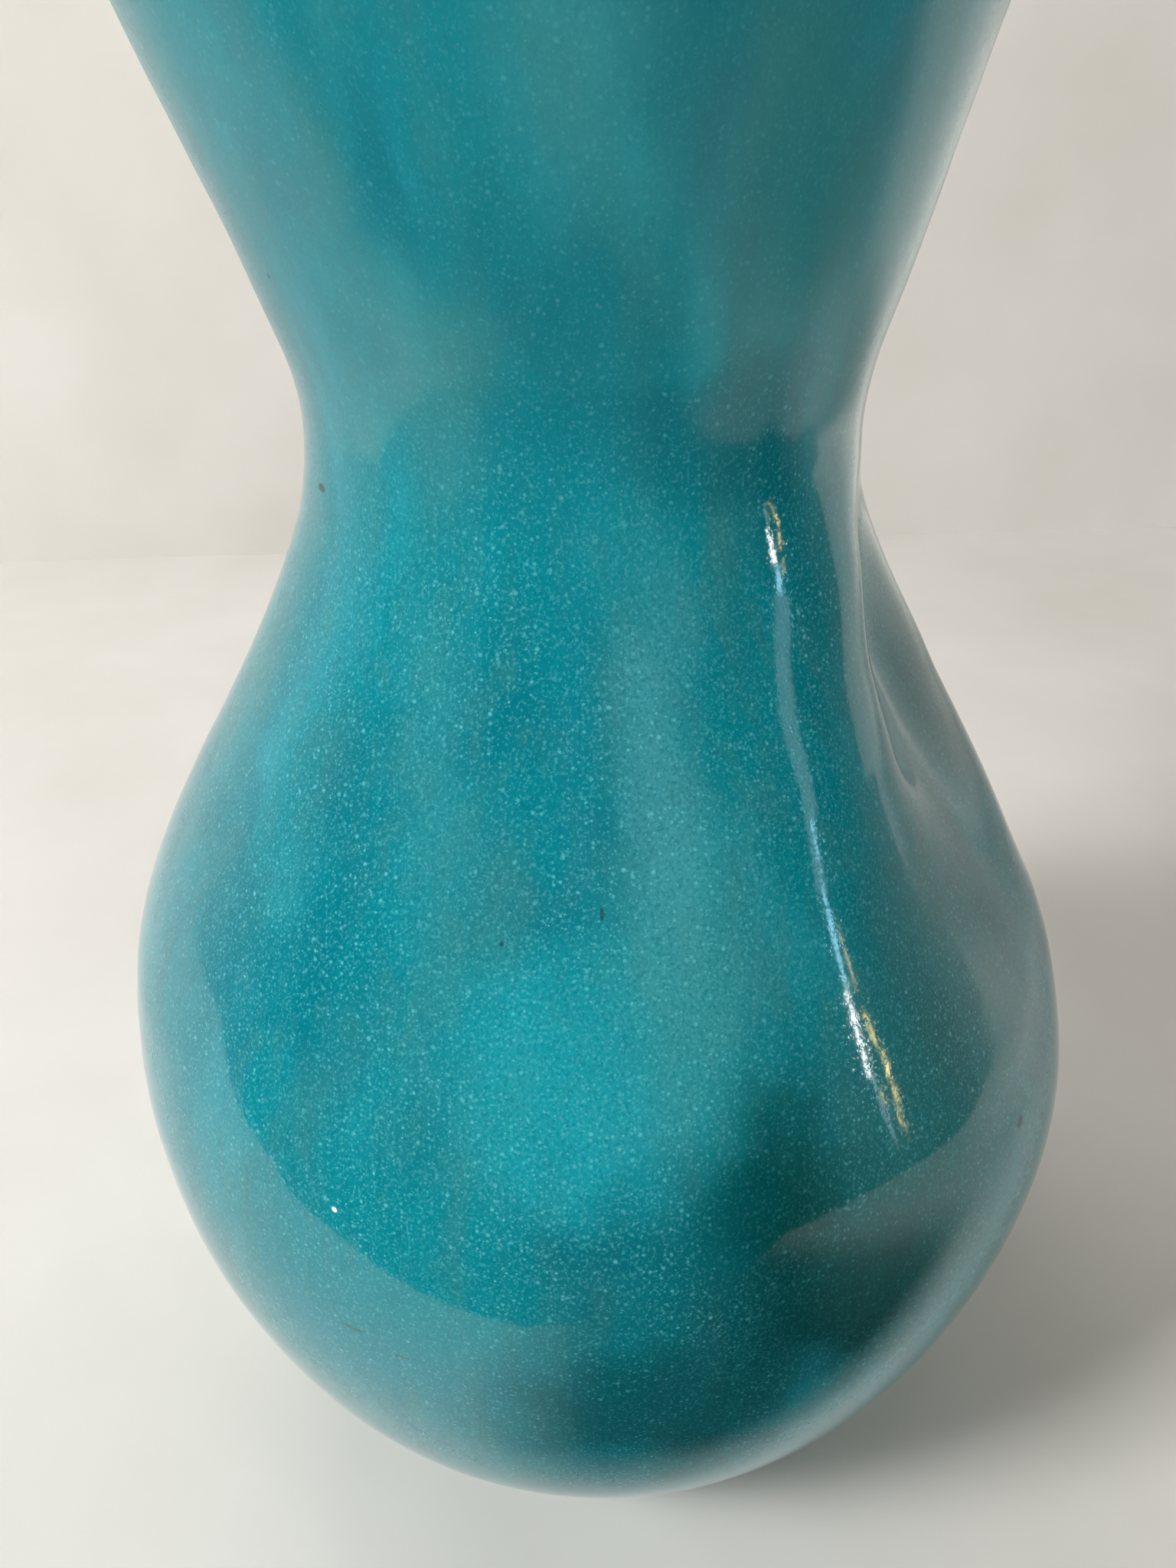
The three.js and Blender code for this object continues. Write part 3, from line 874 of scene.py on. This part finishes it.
bare_foot_edge = 2.5 * mm
under_coat = underside_level - clay_inset
belly_start = 6.6 * mm
foot_coat_radius = foot_radius - coat
outer_outline = rounded([
    (foot_coat_radius, bare_foot_edge, 0),
    (foot_radius + 0.1 * mm, bare_foot_edge, small_rounding),
    (foot_radius, under_coat, 1.4 * mm),
    (outside_radius(under_coat), under_coat, 1.2 * mm),
    (outside_radius(belly_start), belly_start, 0),
])
outer_outline += wall_line(0, belly_start, lip_level)[1:] + lip_arc(outer_side, 0)
outer_outline += lip_arc(outer_side, coat)[::-1]
outer_outline += wall_line(coat, underside_level - fit, lip_level, hidden_row)[::-1]
outer_outline += [(foot_coat_radius, underside_level - fit), (foot_coat_radius, bare_foot_edge)]
turned_piece("outer_glaze", outer_outline, outer_finish, "turquoise_glaze",
             segments=240, edge_wave=1.2 * mm)

# inner_glaze
# The coat inside, poured in and swilled round, from the crest of the lip down over the floor. The
# potter's finger rings show through it.

lining_finish = glaze(
    "lining_glaze", deep=(0.015, 0.22, 0.24), bright=(0.05, 0.36, 0.40), light=(0.07, 0.40, 0.44),
    dull=(0.08, 0.30, 0.32), speck=(0.36, 0.56, 0.58), speck_amount=0.4)
coat_floor = floor_level + fit
open_floor = coat_floor + coat
open_start = open_floor + 6 * mm
inner_outline = [(0, coat_floor)] + wall_line(lining_inset, coat_floor, lip_level, hidden_row)
inner_outline += lip_arc(inner_side, coat) + lip_arc(inner_side, 0)[::-1]
inner_outline += wall_line(inner_inset, open_start, lip_level, 2 * mm)[::-1]
inner_outline += rounded([
    (outside_radius(open_start) - inner_inset, open_start, 0),
    (outside_radius(open_floor) - inner_inset, open_floor, 14 * mm),
    (30 * mm, open_floor, 0), (20 * mm, open_floor, 0), (10 * mm, open_floor, 0), (0, open_floor, 0),
])[1:]
turned_piece("inner_glaze", inner_outline, lining_finish, "lining_glaze",
             segments=200, ring_height=0.15 * mm)

# underside_glaze
# The thin disc of glaze poured on the underside, inside the foot ring. Its lower edge melted round.
# It is of the same thinner glaze as the inside.

disc_edge = foot_inner - fit
disc_bottom = underside_level - coat
disc_outline = rounded([
    (0, disc_bottom, 0),
    (20 * mm, disc_bottom, 0),
    (disc_edge, disc_bottom, small_rounding),
    (disc_edge, underside_level, 0),
    (0, underside_level, 0),
])
turned_piece("underside_glaze", disc_outline, lining_finish, "lining_glaze")
